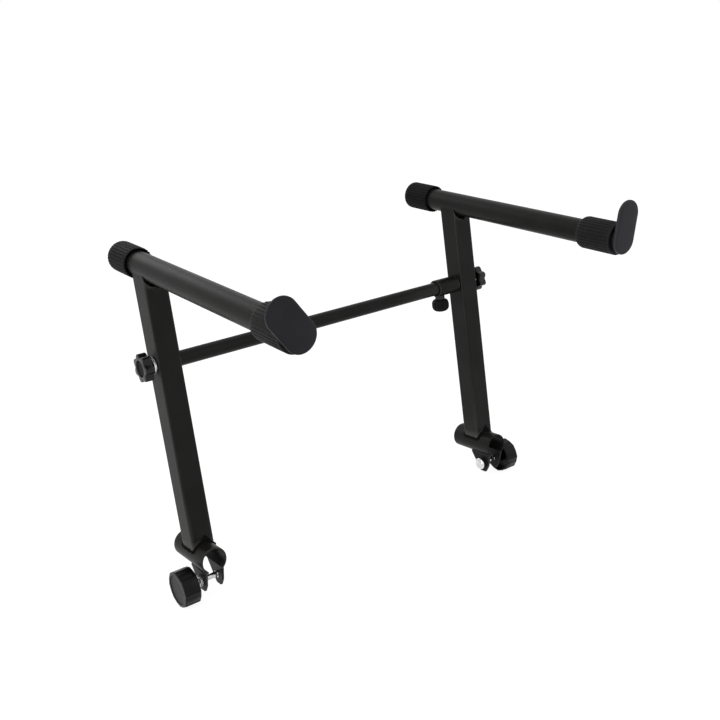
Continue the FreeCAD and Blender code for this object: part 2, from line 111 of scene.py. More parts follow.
def addPiece(name, bm, place, material, body, nodes=(), smooth=32):
    bm.transform(toMetres @ place)
    bmesh.ops.recalc_face_normals(bm, faces=bm.faces)
    mesh = bpy.data.meshes.new(name)
    bm.to_mesh(mesh)
    bm.free()
    for finish in material if isinstance(material, tuple) else (material,):
        mesh.materials.append(finish)
    mesh.shade_smooth()
    mesh.set_sharp_from_angle(angle=math.radians(smooth))
    piece = linkNew(name, mesh)
    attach(piece, body)
    if nodes:
        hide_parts(*nodes)


def lathe(outline, steps, closed=False):
    # spins (radius, z) points about z; a closed outline makes a ring
    bm = bmesh.new()
    verts = [bm.verts.new((radius, 0, z)) for radius, z in outline]
    edges = [bm.edges.new(pair) for pair in zip(verts, verts[1:])]
    if closed:
        edges.append(bm.edges.new((verts[-1], verts[0])))
    bmesh.ops.spin(bm, geom=verts + edges, axis=(0, 0, 1), cent=(0, 0, 0), angle=2 * math.pi,
                   steps=steps, use_merge=True)
    bmesh.ops.remove_doubles(bm, verts=bm.verts, dist=0.001)
    bmesh.ops.recalc_face_normals(bm, faces=bm.faces)
    return bm


def roundOver(reach, height, radius, steps):
    # (radius, z) points of a quarter round from a side into a top
    points = []
    for index in range(1, steps + 1):
        angle = math.pi / 2 * index / steps
        points.append((reach - radius * (1 - math.cos(angle)), height - radius * (1 - math.sin(angle))))
    return points


def ringAt(bm, *heights):
    # extra rings near the ends, so that the paler rubbed edges and their painted highlight stay at the edges
    for height in heights:
        bmesh.ops.bisect_plane(bm, geom=bm.verts[:] + bm.edges[:] + bm.faces[:], dist=0.0001,
                               plane_co=(0, 0, height), plane_no=(0, 0, 1))


def soften(bm, radius, segments=2, angle=30):
    sharp = [edge for edge in bm.edges
             if len(edge.link_faces) == 2 and edge.calc_face_angle(0) > math.radians(angle)]
    bmesh.ops.bevel(bm, geom=sharp, offset=radius, segments=segments, profile=0.5, affect="EDGES",
                    clamp_overlap=True, material=-1)


def thicken(bm, height):
    # extrudes the flat face of a new mesh straight up
    grown = bmesh.ops.extrude_face_region(bm, geom=list(bm.faces))["geom"]
    moved = [item for item in grown if isinstance(item, bmesh.types.BMVert)]
    bmesh.ops.translate(bm, verts=moved, vec=(0, 0, height))


def plate(corners, thickness):
    # a flat plate from its outline, from z = 0 up
    bm = bmesh.new()
    bm.faces.new([bm.verts.new((x, y, 0)) for x, y in corners])
    thicken(bm, thickness)
    bmesh.ops.recalc_face_normals(bm, faces=bm.faces)
    return bm


def join(target, part, place=Matrix()):
    part.transform(place)
    held = bpy.data.meshes.new("held")
    part.to_mesh(held)
    part.free()
    target.from_mesh(held)
    bpy.data.meshes.remove(held)
    return target


# materials

def linear(hexColour):
    shares = [int(hexColour[start:start + 2], 16) / 255 for start in (1, 3, 5)]
    return [share / 12.92 if share <= 0.04045 else ((share + 0.055) / 1.055) ** 2.4 for share in shares] + [1]


def addNode(tree, kind, settings=(), links=()):
    node = tree.nodes.new(kind)
    for name, setting in dict(settings).items():
        if isinstance(name, int) or name in node.inputs:
            node.inputs[name].default_value = setting
        else:
            setattr(node, name, setting)
    for name, socket in dict(links).items():
        tree.links.new(socket, node.inputs[name])
    return node


shading = {
    "patches": (0.35, 0.68),  # the noise levels at which the deep and the pale colour are full
    "curvature": (0.515, 0.6),  # pointiness where the paler rubbed edge and its painted highlight start on a crest, and where they are full
    "hollow": (0.49, 0.44),  # the same for the painted shade in a hollow
    # near-black painted into creases and grooves as shade
    "hollowShadeColour": "#040404",
}


def makeMaterial(name, look):
    # colour patches, a fine grain in roughness and height, paler edges that are part rubbed wear and part
    # painted highlight, and painted shade in the hollows
    material = bpy.data.materials.new(name)
    material.use_nodes = True
    tree = material.node_tree
    shader = tree.nodes["Principled BSDF"]
    for socket, setting in look["shader"].items():
        shader.inputs[socket].default_value = setting
    place = addNode(tree, "ShaderNodeTexCoord").outputs["Object"]

    patches = addNode(tree, "ShaderNodeTexNoise",
                      {"Scale": 1000 / look["patchSize"], "Detail": 3.0, "Roughness": 0.55},
                      {"Vector": place})
    shade = addNode(tree, "ShaderNodeValToRGB", links={"Fac": patches.outputs["Fac"]})
    for stop, level, tone in zip(shade.color_ramp.elements, shading["patches"], ("deep", "pale")):
        stop.position = level
        stop.color = linear(look[tone])

    curvature = addNode(tree, "ShaderNodeNewGeometry").outputs["Pointiness"]
    start, full = shading["curvature"]
    edges = addNode(tree, "ShaderNodeMapRange",
                    {"From Min": start, "From Max": full, "To Max": look["edgeScuffAndHighlightShare"]}, {"Value": curvature})
    # paler crests: partly rubbed wear, partly a painted highlight
    edgeScuffAndHighlight = addNode(tree, "ShaderNodeMix", {"data_type": "RGBA", 7: linear(look["edgeScuffAndHighlight"])},
                   {0: edges.outputs["Result"], 6: shade.outputs["Color"]})
    start, full = shading["hollow"]
    hollows = addNode(tree, "ShaderNodeMapRange",
                      {"From Min": start, "From Max": full, "To Max": look["hollowShade"]}, {"Value": curvature})
    # painted shade: creases and grooves are darkened towards near-black
    shadedHollows = addNode(tree, "ShaderNodeMix", {"data_type": "RGBA", 7: linear(shading["hollowShadeColour"])},
                    {0: hollows.outputs["Result"], 6: edgeScuffAndHighlight.outputs[2]})
    tree.links.new(shadedHollows.outputs[2], shader.inputs["Base Color"])

    grain = addNode(tree, "ShaderNodeTexNoise",
                    {"Scale": 1000 / look["grainSize"], "Detail": 2.0, "Roughness": 0.6}, {"Vector": place})
    smooth, coarse = look["rough"]
    sheen = addNode(tree, "ShaderNodeMapRange",
                    {"From Min": 0.3, "From Max": 0.7, "To Min": smooth, "To Max": coarse},
                    {"Value": grain.outputs["Fac"]})
    tree.links.new(sheen.outputs["Result"], shader.inputs["Roughness"])
    bump = addNode(tree, "ShaderNodeBump", {"Strength": look["bump"], "Distance": look["grainDepth"] / 1000},
                   {"Height": grain.outputs["Fac"]})
    tree.links.new(bump.outputs["Normal"], shader.inputs["Normal"])
    return material


finishes = {
    # black satin powder coat on steel: a soft sheen broken up by a faint orange peel, here 1.6 mm to show
    "powderCoatSatinBlack": {
        # the paler edge colour is part wear and part painted highlight, on rims such as the clamp tubes'
        # mouths
        "deep": "#121110", "pale": "#191817", "edgeScuffAndHighlight": "#5C5B59", "edgeScuffAndHighlightShare": 0.6, "hollowShade": 0.4, "patchSize": 60,
        "grainSize": 1.6, "grainDepth": 0.06, "bump": 0.35, "rough": (0.32, 0.46),
        "shader": {"IOR": 1.5, "Specular IOR Level": 0.1},
    },
    # black moulded rubber: nearly matte and very dark, a little paler on the crests that get handled
    "rubberMouldedBlack": {
        "deep": "#0A0A0A", "pale": "#0F0F10", "edgeScuffAndHighlight": "#2A2A2B", "edgeScuffAndHighlightShare": 0.7, "hollowShade": 0.9, "patchSize": 25,
        "grainSize": 0.9, "grainDepth": 0.05, "bump": 0.3, "rough": (0.45, 0.6),
        "shader": {"IOR": 1.5, "Specular IOR Level": 0.06},
    },
    # the same rubber greyed by hands on the front grips, so their ribs show paler
    "rubberHandledBlack": {
        "deep": "#121213", "pale": "#1A1A1A", "edgeScuffAndHighlight": "#343434", "edgeScuffAndHighlightShare": 0.7, "hollowShade": 0.7, "patchSize": 25,
        "grainSize": 0.9, "grainDepth": 0.05, "bump": 0.3, "rough": (0.42, 0.56),
        "shader": {"IOR": 1.5, "Specular IOR Level": 0.1},
    },
    # the lips' faces come from a polished part of the mould: smoother and faintly blue
    "rubberSmoothBlack": {
        # its paler edge colour paints a highlight along the lips' rolled edges
        "deep": "#151519", "pale": "#1B1B20", "edgeScuffAndHighlight": "#606067", "edgeScuffAndHighlightShare": 0.9, "hollowShade": 0.3, "patchSize": 30,
        "grainSize": 1.2, "grainDepth": 0.04, "bump": 0.3, "rough": (0.36, 0.48),
        "shader": {"IOR": 1.5, "Specular IOR Level": 0.16},
    },
    # black nylon knobs, moulded in a spark-eroded tool: a fine even grain and a fair shine on the ridges,
    # brightened by a highlight painted in the paler edge colour
    "nylonMouldedBlack": {
        "deep": "#09090B", "pale": "#0F0F12", "edgeScuffAndHighlight": "#606067", "edgeScuffAndHighlightShare": 0.9, "hollowShade": 0.6, "patchSize": 18,
        "grainSize": 0.8, "grainDepth": 0.03, "bump": 0.3, "rough": (0.22, 0.34),
        "shader": {"IOR": 1.53, "Specular IOR Level": 0.11},
    },
    # the pivot knobs come from a polished mould: blacker, with sharp highlights on the lobes, partly painted
    # in the paler edge colour
    "nylonPolishedBlack": {
        "deep": "#060607", "pale": "#0B0B0D", "edgeScuffAndHighlight": "#3C3C41", "edgeScuffAndHighlightShare": 0.35, "hollowShade": 0.5, "patchSize": 12,
        "grainSize": 0.9, "grainDepth": 0.02, "bump": 0.25, "rough": (0.12, 0.22),
        "shader": {"IOR": 1.53, "Specular IOR Level": 0.22},
    },
    # the clamp knobs' dished faces are coarser and scuffed to grey
    "nylonScuffedGrey": {
        "deep": "#242426", "pale": "#2D2D2F", "edgeScuffAndHighlight": "#4A4A4C", "edgeScuffAndHighlightShare": 0.4, "hollowShade": 0.4, "patchSize": 9,
        "grainSize": 0.9, "grainDepth": 0.06, "bump": 0.5, "rough": (0.5, 0.65),
        "shader": {"IOR": 1.53, "Specular IOR Level": 0.22},
    },
    # the pivot knobs' sunk faces, dull and a little brown with age
    "nylonAgedBrown": {
        "deep": "#12100E", "pale": "#1A1714", "edgeScuffAndHighlight": "#35312B", "edgeScuffAndHighlightShare": 0.5, "hollowShade": 0.4, "patchSize": 8,
        "grainSize": 0.8, "grainDepth": 0.04, "bump": 0.4, "rough": (0.5, 0.62),
        "shader": {"IOR": 1.53, "Specular IOR Level": 0.06},
    },
    # weld metal under a thin coat: scaly, sooty and almost without shine
    "weldScaleBlack": {
        "deep": "#030303", "pale": "#0C0B0B", "edgeScuffAndHighlight": "#2A2826", "edgeScuffAndHighlightShare": 0.15, "hollowShade": 0.8, "patchSize": 5,
        "grainSize": 1.4, "grainDepth": 0.3, "bump": 0.7, "rough": (0.5, 0.75),
        "shader": {"IOR": 1.5, "Specular IOR Level": 0.04},
    },
    # bright zinc plate on the bolts, studs and washers: a mirror dulled by fine handling marks
    "zincPlatedBright": {
        "deep": "#C6C8CB", "pale": "#E2E3E5", "edgeScuffAndHighlight": "#F0F0F1", "edgeScuffAndHighlightShare": 0.4, "hollowShade": 0.3, "patchSize": 6,
        "grainSize": 0.7, "grainDepth": 0.01, "bump": 0.2, "rough": (0.08, 0.20),
        "shader": {"Metallic": 1.0},
    },
    # plain turned steel, inside the tubes
    "steelTurned": {
        "deep": "#7E7F82", "pale": "#96989B", "edgeScuffAndHighlight": "#B4B6B8", "edgeScuffAndHighlightShare": 0.3, "hollowShade": 0.4, "patchSize": 8,
        "grainSize": 0.6, "grainDepth": 0.02, "bump": 0.3, "rough": (0.32, 0.45),
        "shader": {"Metallic": 1.0},
    },
    # brass inserts moulded into the knobs
    "brassTurned": {
        "deep": "#A8853E", "pale": "#C29A4B", "edgeScuffAndHighlight": "#D9B56A", "edgeScuffAndHighlightShare": 0.3, "hollowShade": 0.4, "patchSize": 6,
        "grainSize": 0.6, "grainDepth": 0.02, "bump": 0.25, "rough": (0.25, 0.38),
        "shader": {"Metallic": 1.0},
    },
}
materials = {name: makeMaterial(name, look) for name, look in finishes.items()}
powderCoat = materials["powderCoatSatinBlack"]
rubber = materials["rubberMouldedBlack"]
handledRubber = materials["rubberHandledBlack"]
smoothRubber = materials["rubberSmoothBlack"]
nylon = materials["nylonMouldedBlack"]
polishedNylon = materials["nylonPolishedBlack"]
scuffedNylon = materials["nylonScuffedGrey"]
agedNylon = materials["nylonAgedBrown"]
weldScale = materials["weldScaleBlack"]
zinc = materials["zincPlatedBright"]

slotFinishes = {
    "black_powder_coat": "powderCoatSatinBlack", "black_rubber": "rubberMouldedBlack",
    "black_plastic": "nylonMouldedBlack", "bright_zinc": "zincPlatedBright",
    "plug_steel": "steelTurned", "brass_insert": "brassTurned",
}
for subpart in frame["record"]["subparts"]:
    node = frame["nodes"][subpart["node"]]
    node.data.materials.clear()
    node.data.materials.append(materials[slotFinishes[subpart["material_slot"]]])
print("materials", len(materials))


# arms and their caps

tubing = {
    "armRadius": 16, "armWall": 1.5, "armBack": 83.3, "armFront": 321.32, "armSteps": 96,
    "ringInset": 3, "armRings": (100, 200, 300), "crossbarRings": (3, 150, 300, 440),
    "crossbarRadius": 10, "crossbarWall": 1.5, "crossbarStart": 16.3, "crossbarLength": 463.7,
}
backCap = {
    "length": 51, "back": 86.3, "floor": 19.2, "ribs": 30, "ribHeight": 1.1, "flank": 0.5, "ribEdge": 0.16,
    "mouth": 18.9, "mouthDepth": 5, "endRound": 3, "endSteps": 5, "endFlat": 12.2, "bore": 16.01,
    "fade": 9, "fadeShare": 0.8,  # the length and depth over which the grooves run out
}
frontCap = {
    "back": 265.4, "grip": 58.5, "radius": 21.4, "floor": 20.4, "ribs": 30, "ribHeight": 1.0, "flank": 0.5,
    "ribEdge": 0.16, "taper": 6.6, "start": 16.75, "rim": 3.2, "bore": 16.09, "neckRadius": 15, "neck": 5.3,
    "lipThickness": 4, "lipRadius": 19, "lipHeight": 32.6, "lipEdge": 1.1, "crown": 0.35,
    "crownSteps": ((2.5, 0.6), (5, 0.3), (6, 0.1)),  # inset, and the share of the crown that it rises
    "turn": {"left": 36.5, "right": -9.7},
}


def raiseRibs(bm, sizes, low, high):
    # three columns in five are raised into a rib with sloping flanks, between two heights
    step = 2 * math.pi / (5 * sizes["ribs"])
    ribs = []
    for face in bm.faces:
        middle = face.calc_center_median()
        outside = middle.xy.dot(face.normal.xy) > 0.3 * middle.xy.length
        column = int((math.atan2(middle.y, middle.x) % (2 * math.pi)) / step)
        if outside and low < middle.z < high and column % 5 < 3:
            ribs.append(face)
    bmesh.ops.inset_region(bm, faces=ribs, thickness=sizes["flank"], depth=sizes["ribHeight"],
                           use_even_offset=True, use_boundary=True)
    soften(bm, sizes["ribEdge"], angle=28)


def makeBackCap():
    s = backCap
    end = s["length"]
    outline = [(s["bore"], 10), (s["bore"], s["mouthDepth"]), (s["mouth"], 0.4), (s["mouth"] + 0.15, 0),
               (s["floor"] - 0.15, 0), (s["floor"], 0.3), (s["floor"], 2), (s["floor"], end / 2),
               (s["floor"], end - s["fade"]), (s["floor"], end - s["endRound"])]
    outline += roundOver(s["floor"], end, s["endRound"], s["endSteps"])
    outline += [(s["endFlat"], end), (0, end)]
    bm = lathe(outline, 5 * s["ribs"])
    raiseRibs(bm, s, 0.3, end - s["endRound"] * 0.5)
    for vert in bm.verts:
        # the grooves run out towards the end
        reach = vert.co.xy.length
        share = min(max((vert.co.z - end + s["fade"]) / (s["fade"] - s["endRound"]), 0), 1)
        if share > 0 and reach > s["floor"] - s["endRound"] - 0.5:
            drop = max(vert.co.z - end + s["endRound"], 0)
            full = s["floor"] + s["ribHeight"] - s["endRound"]
            full += math.sqrt(max(s["endRound"] ** 2 - drop ** 2, 0))
            vert.co.xy = vert.co.xy * (1 + (full / reach - 1) * share * s["fadeShare"])
    return bm


def makeFrontCap():
    s = frontCap
    grip = s["grip"]
    ribEnd = grip - s["rim"]
    outline = [(s["bore"], 8), (s["bore"], 0), (s["start"], 0)]
    for index in range(1, 5):
        share = index / 4
        reach = s["start"] + (s["floor"] - s["start"]) * math.sin(share * math.pi / 2)
        outline.append((reach, s["taper"] * share))
    outline += [(s["floor"], grip / 2), (s["floor"], ribEnd), (s["radius"], ribEnd + 0.1),
                (s["radius"], grip - 1.4), (s["radius"] - 0.4, grip - 0.5), (s["radius"] - 1.3, grip),
                (s["neckRadius"] + 0.6, grip), (s["neckRadius"], grip + 0.6),
                (s["neckRadius"], grip + s["neck"] + 0.5), (0, grip + s["neck"] + 0.5)]
    bm = lathe(outline, 5 * s["ribs"])
    raiseRibs(bm, s, 1.7, ribEnd - 0.05)
    return bm


def makeLip():
    # a flat tongue with round ends, its edges rolled over and its front a little crowned
    s = frontCap
    bm = bmesh.new()
    bmesh.ops.create_circle(bm, cap_ends=True, segments=96, radius=s["lipRadius"])
    top = [vert for vert in bm.verts if vert.co.y > 0.01]
    bmesh.ops.translate(bm, verts=top, vec=(0, s["lipHeight"], 0))
    thicken(bm, s["lipThickness"] - s["crown"])
    soften(bm, s["lipEdge"], segments=4, angle=60)
    face = max(bm.faces, key=lambda item: item.calc_center_median().z)
    for inset, rise in s["crownSteps"]:
        bmesh.ops.inset_region(bm, faces=[face], thickness=inset, depth=0, use_even_offset=True)
        bmesh.ops.translate(bm, verts=list(face.verts), vec=(0, 0, s["crown"] * rise))
    return bm


for side in sides:
    s = tubing
    body = side + "_frame"
    length = s["armFront"] + s["armBack"]
    outside, inside = s["armRadius"], s["armRadius"] - s["armWall"]
    tube = lathe([(outside, 0), (outside, length), (inside, length), (inside, 0)], s["armSteps"], closed=True)
    ringAt(tube, s["ringInset"], *s["armRings"], length - s["ringInset"])
    addPiece(side + "ArmTube", tube, armPlace(side, -s["armBack"]), powderCoat, body,
             [side + "_arm_tube"])
    # the back cap's own z runs backwards
    backwards = armPlace(side, -(backCap["back"] - backCap["length"])) @ Matrix.Rotation(math.pi, 4, "X")
    addPiece(side + "BackCap", makeBackCap(), backwards, rubber, body, [side + "_back_cap"])

    turned = armPlace(side, frontCap["back"]) @ Matrix.Rotation(math.radians(frontCap["turn"][side]), 4, "Z")
    addPiece(side + "FrontCap", makeFrontCap(), turned, handledRubber, side + "_front_cap",
             [side + "_front_cap"])
    lipPlace = turned @ Matrix.Translation((0, 0, frontCap["grip"] + frontCap["neck"]))
    addPiece(side + "Lip", makeLip(), lipPlace, smoothRubber, side + "_front_cap",
             smooth=40)
print("arms and caps")


# uprights and welds

upright = {
    "half": 16, "corner": 3, "wall": 1.5, "cuts": 14, "topDrop": 0.5, "gap": 5, "tuck": 1.2, "tuckIn": 0.7,
    "rings": (22, 100, 180, 260, 330, 360, 378, 382),
}
clampTube = {
    "radius": 18.4, "bore": 16.1, "length": 80, "slotBack": 8, "slotWidth": 21, "edge": 0.45, "steps": 144,
    "rings": (2, 30, 50, 78),
}
weld = {
    "arm": {"size": 1.5, "sink": -2.4, "rise": -0.4, "ripple": 0.22},
    "clamp": {"size": 1.9, "sink": 0.4, "rise": 0.3, "ripple": 0.16},
    "pitch": 2.6,
    "waves": ((1, math.pi / 2), (0.6, 0.37), (0.5, 0.91)),  # share and pace of each ripple along the bead
    # lumps on the upright's front face: across, above the joint and radius
    # they are a heap at the foot and drips at the head
    "foot": [(-3.5, 0.8, 2.1), (-0.5, 1, 2.4), (3, 1, 2.2), (6.5, 0.9, 2.4), (10, 0.7, 2), (12.5, 0.3, 1.7),
             (-1.5, 3, 2), (2, 3.6, 2.3), (5.6, 3.2, 2.2), (9, 2.8, 1.9), (1, 5.6, 1.9), (4.4, 6.2, 2.1),
             (7.2, 5, 1.6), (3.2, 8.2, 1.6)],
    "head": [(-13.5, -3.4, 1.5), (-10, -3, 1.3), (-3.5, -4, 1.5), (1.5, -5, 2.2), (4.5, -4, 1.8),
             (8.5, -3.4, 1.3), (13.5, -3.6, 1.5)],
    "lumpShape": (1.15, 0.75, 1, 1),
}


def roundedSquare(half, corner, cuts):
    # the upright's outline as a loop of vertices in a new mesh
    bm = bmesh.new()
    bmesh.ops.create_grid(bm, x_segments=1, y_segments=1, size=half)
    bmesh.ops.bevel(bm, geom=list(bm.verts), offset=corner, segments=6, profile=0.5, affect="VERTICES",
                    clamp_overlap=True, material=-1)
    bmesh.ops.delete(bm, geom=list(bm.faces), context="FACES_ONLY")
    longEdges = [edge for edge in bm.edges if edge.calc_length() > half]
    bmesh.ops.subdivide_edges(bm, edges=longEdges, cuts=cuts)
    return bm


def footHeight(u, v):
    # where the upright's wall meets the clamp tube
    reach = math.sqrt(max(clampTube["radius"] ** 2 - u * u, 0))
    return (v * math.sin(lean) + reach) / math.cos(lean)


def headHeight(u, v):
    # where the upright's wall meets the underside of the arm, or its flat top at the sides
    slope = lean + tilt
    reach = math.sqrt(max(tubing["armRadius"] ** 2 - u * u, 0))
    return stand["armHeight"] + min((v * math.sin(slope) - reach) / math.cos(slope), -upright["topDrop"])


def makeUpright():
    s = upright
    bm = roundedSquare(s["half"], s["corner"], s["cuts"])
    foot = list(bm.verts)
    grown = bmesh.ops.extrude_edge_only(bm, edges=list(bm.edges))["geom"]
    head = [item for item in grown if isinstance(item, bmesh.types.BMVert)]
    for vert in foot:
        vert.co.z = footHeight(vert.co.x, vert.co.y)
    for vert in head:
        if abs(vert.co.x) > s["half"] - 0.3:
            # the side walls run on into the arm's tube, out of sight
            vert.co.z = stand["armHeight"] + vert.co.y * math.tan(lean + tilt) + s["tuck"]
            vert.co.x *= 1 - s["tuckIn"] / s["half"]
            continue
        # the cope is cut short at the front, and a dark gap is left there
        short = s["gap"] if vert.co.y < 1 - s["half"] else 0
        vert.co.z = headHeight(vert.co.x, vert.co.y) - short
    bmesh.ops.recalc_face_normals(bm, faces=bm.faces)
    bmesh.ops.solidify(bm, geom=list(bm.faces), thickness=s["wall"])
    ringAt(bm, *s["rings"])
    return bm


def outlinePoints(half, corner, step):
    # points round the rounded square at an even step, as (u, v)
    straight = 2 * (half - corner)
    arc = math.pi / 2 * corner
    total = 4 * (straight + arc)
    count = int(total / step)
    points = []
    for index in range(count):
        travelled = total * index / count
        quarter, along = divmod(travelled, straight + arc)
        if along < straight:
            u, v = half, along - straight / 2
        else:
            angle = (along - straight) / corner
            u, v = half - corner + corner * math.cos(angle), straight / 2 + corner * math.sin(angle)
        turn = Matrix.Rotation(quarter * math.pi / 2, 2)
        points.append(turn @ Vector((u, v)))
    return points


def makeBead(name, height, sizes):
    # a rippled weld bead that follows the joint, made as a curve of varying thickness
    curve = bpy.data.curves.new(name, "CURVE")
    curve.dimensions = "3D"
    curve.bevel_depth = sizes["size"]
    curve.bevel_resolution = 3
    sink = sizes["sink"]
    points = outlinePoints(upright["half"] + sink, upright["corner"] + sink, weld["pitch"] / 4)
    spline = curve.splines.new("POLY")
    spline.points.add(len(points) - 1)
    spline.use_cyclic_u = True
    for index, (point, (u, v)) in enumerate(zip(spline.points, points)):
        point.co = (u, v, height(u, v) + sizes["rise"], 1)
        wave = sum(share * math.sin(index * pace) for share, pace in weld["waves"])
        point.radius = 1 + sizes["ripple"] * wave
    holder = linkNew(name + "Curve", curve)
    bpy.context.view_layer.update()
    mesh = bpy.data.meshes.new_from_object(holder.evaluated_get(bpy.context.evaluated_depsgraph_get()))
    bm = bmesh.new()
    bm.from_mesh(mesh)
    bmesh.ops.remove_doubles(bm, verts=bm.verts, dist=0.01)
    bpy.data.objects.remove(holder)
    return bm


def addLumps(bm, height, lumps):
    front = -upright["half"]
    for u, lift, radius in lumps:
        lump = bmesh.new()
        bmesh.ops.create_icosphere(lump, subdivisions=2, radius=radius)
        spot = Matrix.Translation((u, front, height(u, front) + lift))
        join(bm, lump, spot @ Matrix.Diagonal(weld["lumpShape"]))
    return bm


for side in sides:
    body = side + "_frame"
    place = uprightPlace(side)
    addPiece(side + "Upright", makeUpright(), place, powderCoat, body,
             [side + "_upright"])
    headWeld = addLumps(makeBead(side + "ArmWeld", headHeight, weld["arm"]), headHeight, weld["head"])
    addPiece(side + "ArmWeld", headWeld, place, weldScale, body, [side + "_arm_weld"],
             smooth=60)
    footWeld = addLumps(makeBead(side + "ClampWeld", footHeight, weld["clamp"]), footHeight, weld["foot"])
    addPiece(side + "ClampWeld", footWeld, place, weldScale, body,
             [side + "_clamp_weld"], smooth=60)
print("uprights and welds")


# clamps

ear = {
    "gap": 21, "thickness": 3, "cornerRound": 1.2, "edge": 0.4, "boltForward": 19.8, "boltDrop": 30.6,
    "outline": [(4, -14.2), (4, -16.1), (-5, -30), (-14.85, -45), (-26.4, -45), (-33, -34.6),
                (-37.5, -16.1), (-37.5, -14.2)],
}
bolt = {
    "radius": 4, "length": 50, "head": 9.5, "headHeight": 4.7, "neck": 8, "neckLength": 4.5, "pitch": 1.25,
    "threadDepth": 0.42, "threadStart": 27, "turnSteps": 20, "standoff": {"left": 0, "right": 4.7},
    "headRim": 0.9, "domeSteps": 9,
}
washer = {"clampRadius": 8, "starRadius": 11.5, "bore": 4.3, "thickness": 1.6, "gap": 0.1, "edge": 0.25}
clampKnob = {
    "radius": 25.4, "valley": 24.3, "length": 22.6, "wall": 3.5, "ridges": 8, "round": 1.8,
    "ridgeSharpness": 12, "stepsPerRidge": 24,
    "rimWidth": 4.6, "recess": 1.5, "floorThickness": 4, "hub": 9.5, "hubReach": 2, "socket": 7.06,
    "gap": {"left": 7, "right": 0.2},
}
boltPoint = Vector((0, -ear["boltForward"], -ear["boltDrop"]))


def makeClampTube():
    s = clampTube
    bm = lathe([(s["radius"], 0), (s["radius"], s["length"] / 2 - s["slotBack"]),
                (s["radius"], s["length"])], s["steps"])
    half = s["slotWidth"] / 2
    # z runs forwards, so the slot is in the far part; y is down here
    slot = [face for face in bm.faces
            if face.calc_center_median().z > s["length"] / 2 - s["slotBack"]
            and face.calc_center_median().y > 0 and abs(face.calc_center_median().x) < half]
    bmesh.ops.delete(bm, geom=slot, context="FACES")
    bmesh.ops.recalc_face_normals(bm, faces=bm.faces)
    bmesh.ops.solidify(bm, geom=list(bm.faces), thickness=s["radius"] - s["bore"])
    soften(bm, s["edge"], angle=50)
    ringAt(bm, *s["rings"])
    return bm


def makeEar():
    # in its own plane x runs backwards and y up
    s = ear
    bm = plate(s["outline"], s["thickness"])
    corners = [edge for edge in bm.edges
               if abs(edge.verts[0].co.z - edge.verts[1].co.z) > 1 and edge.verts[0].co.y < -16.5]
    bmesh.ops.bevel(bm, geom=corners, offset=s["cornerRound"], segments=4, profile=0.5, affect="EDGES",
                    clamp_overlap=True, material=-1)
    soften(bm, s["edge"], angle=50)
    flats = [face for face in bm.faces if face.calc_area() > 200]
    bmesh.ops.inset_individual(bm, faces=flats, thickness=1, use_even_offset=True)
    return bm


def makeBolt():
    # domed head below zero, square neck, plain shank and rolled thread above
    s = bolt
    dome = [(0, -s["headHeight"])]
    for index in range(1, s["domeSteps"] + 1):
        angle = math.pi / 2 * index / s["domeSteps"]
        rise = (s["headHeight"] - s["headRim"]) * math.cos(angle)
        dome.append((s["head"] * math.sin(angle), -s["headRim"] - rise))
    dome += [(s["head"], -0.35), (s["head"] - 0.3, 0), (0, 0)]
    bm = lathe(dome, 48)
    half = s["neck"] / 2
    neck = plate([(-half, -half), (half, -half), (half, half), (-half, half)], s["neckLength"])
    soften(neck, 0.5, angle=50)
    join(bm, neck)
    core = s["radius"] - s["threadDepth"]
    join(bm, lathe([(0, 0), (s["radius"] - 0.05, 0), (s["radius"] - 0.05, s["threadStart"]),
                    (core, s["threadStart"] + 0.4), (core, s["length"] - 0.3), (core - 0.6, s["length"]),
                    (0, s["length"])], 32))
    thread = bmesh.new()
    crest = [thread.verts.new(co) for co in ((core - 0.05, 0, -s["pitch"] / 2), (s["radius"], 0, -0.1),
                                             (s["radius"], 0, 0.1), (core - 0.05, 0, s["pitch"] / 2))]
    edges = [thread.edges.new(pair) for pair in zip(crest, crest[1:])]
    turns = (s["length"] - s["threadStart"] - 2 * s["pitch"]) / s["pitch"]
    steps = int(turns * s["turnSteps"])
    bmesh.ops.spin(thread, geom=crest + edges, axis=(0, 0, 1), cent=(0, 0, 0), angle=turns * 2 * math.pi,
                   steps=steps, dvec=(0, 0, s["pitch"] / s["turnSteps"]), use_merge=False)
    bmesh.ops.remove_doubles(thread, verts=thread.verts, dist=0.002)
    join(bm, thread, Matrix.Translation((0, 0, s["threadStart"] + s["pitch"])))
    return bm


def makeWashers(radius):
    s = washer
    bm = bmesh.new()
    for index in range(2):
        start = s["gap"] + index * (s["thickness"] + s["gap"])
        ring = lathe([(s["bore"], start), (radius, start), (radius, start + s["thickness"]),
                      (s["bore"], start + s["thickness"])], 64, closed=True)
        soften(ring, s["edge"], angle=50)
        join(bm, ring)
    return bm


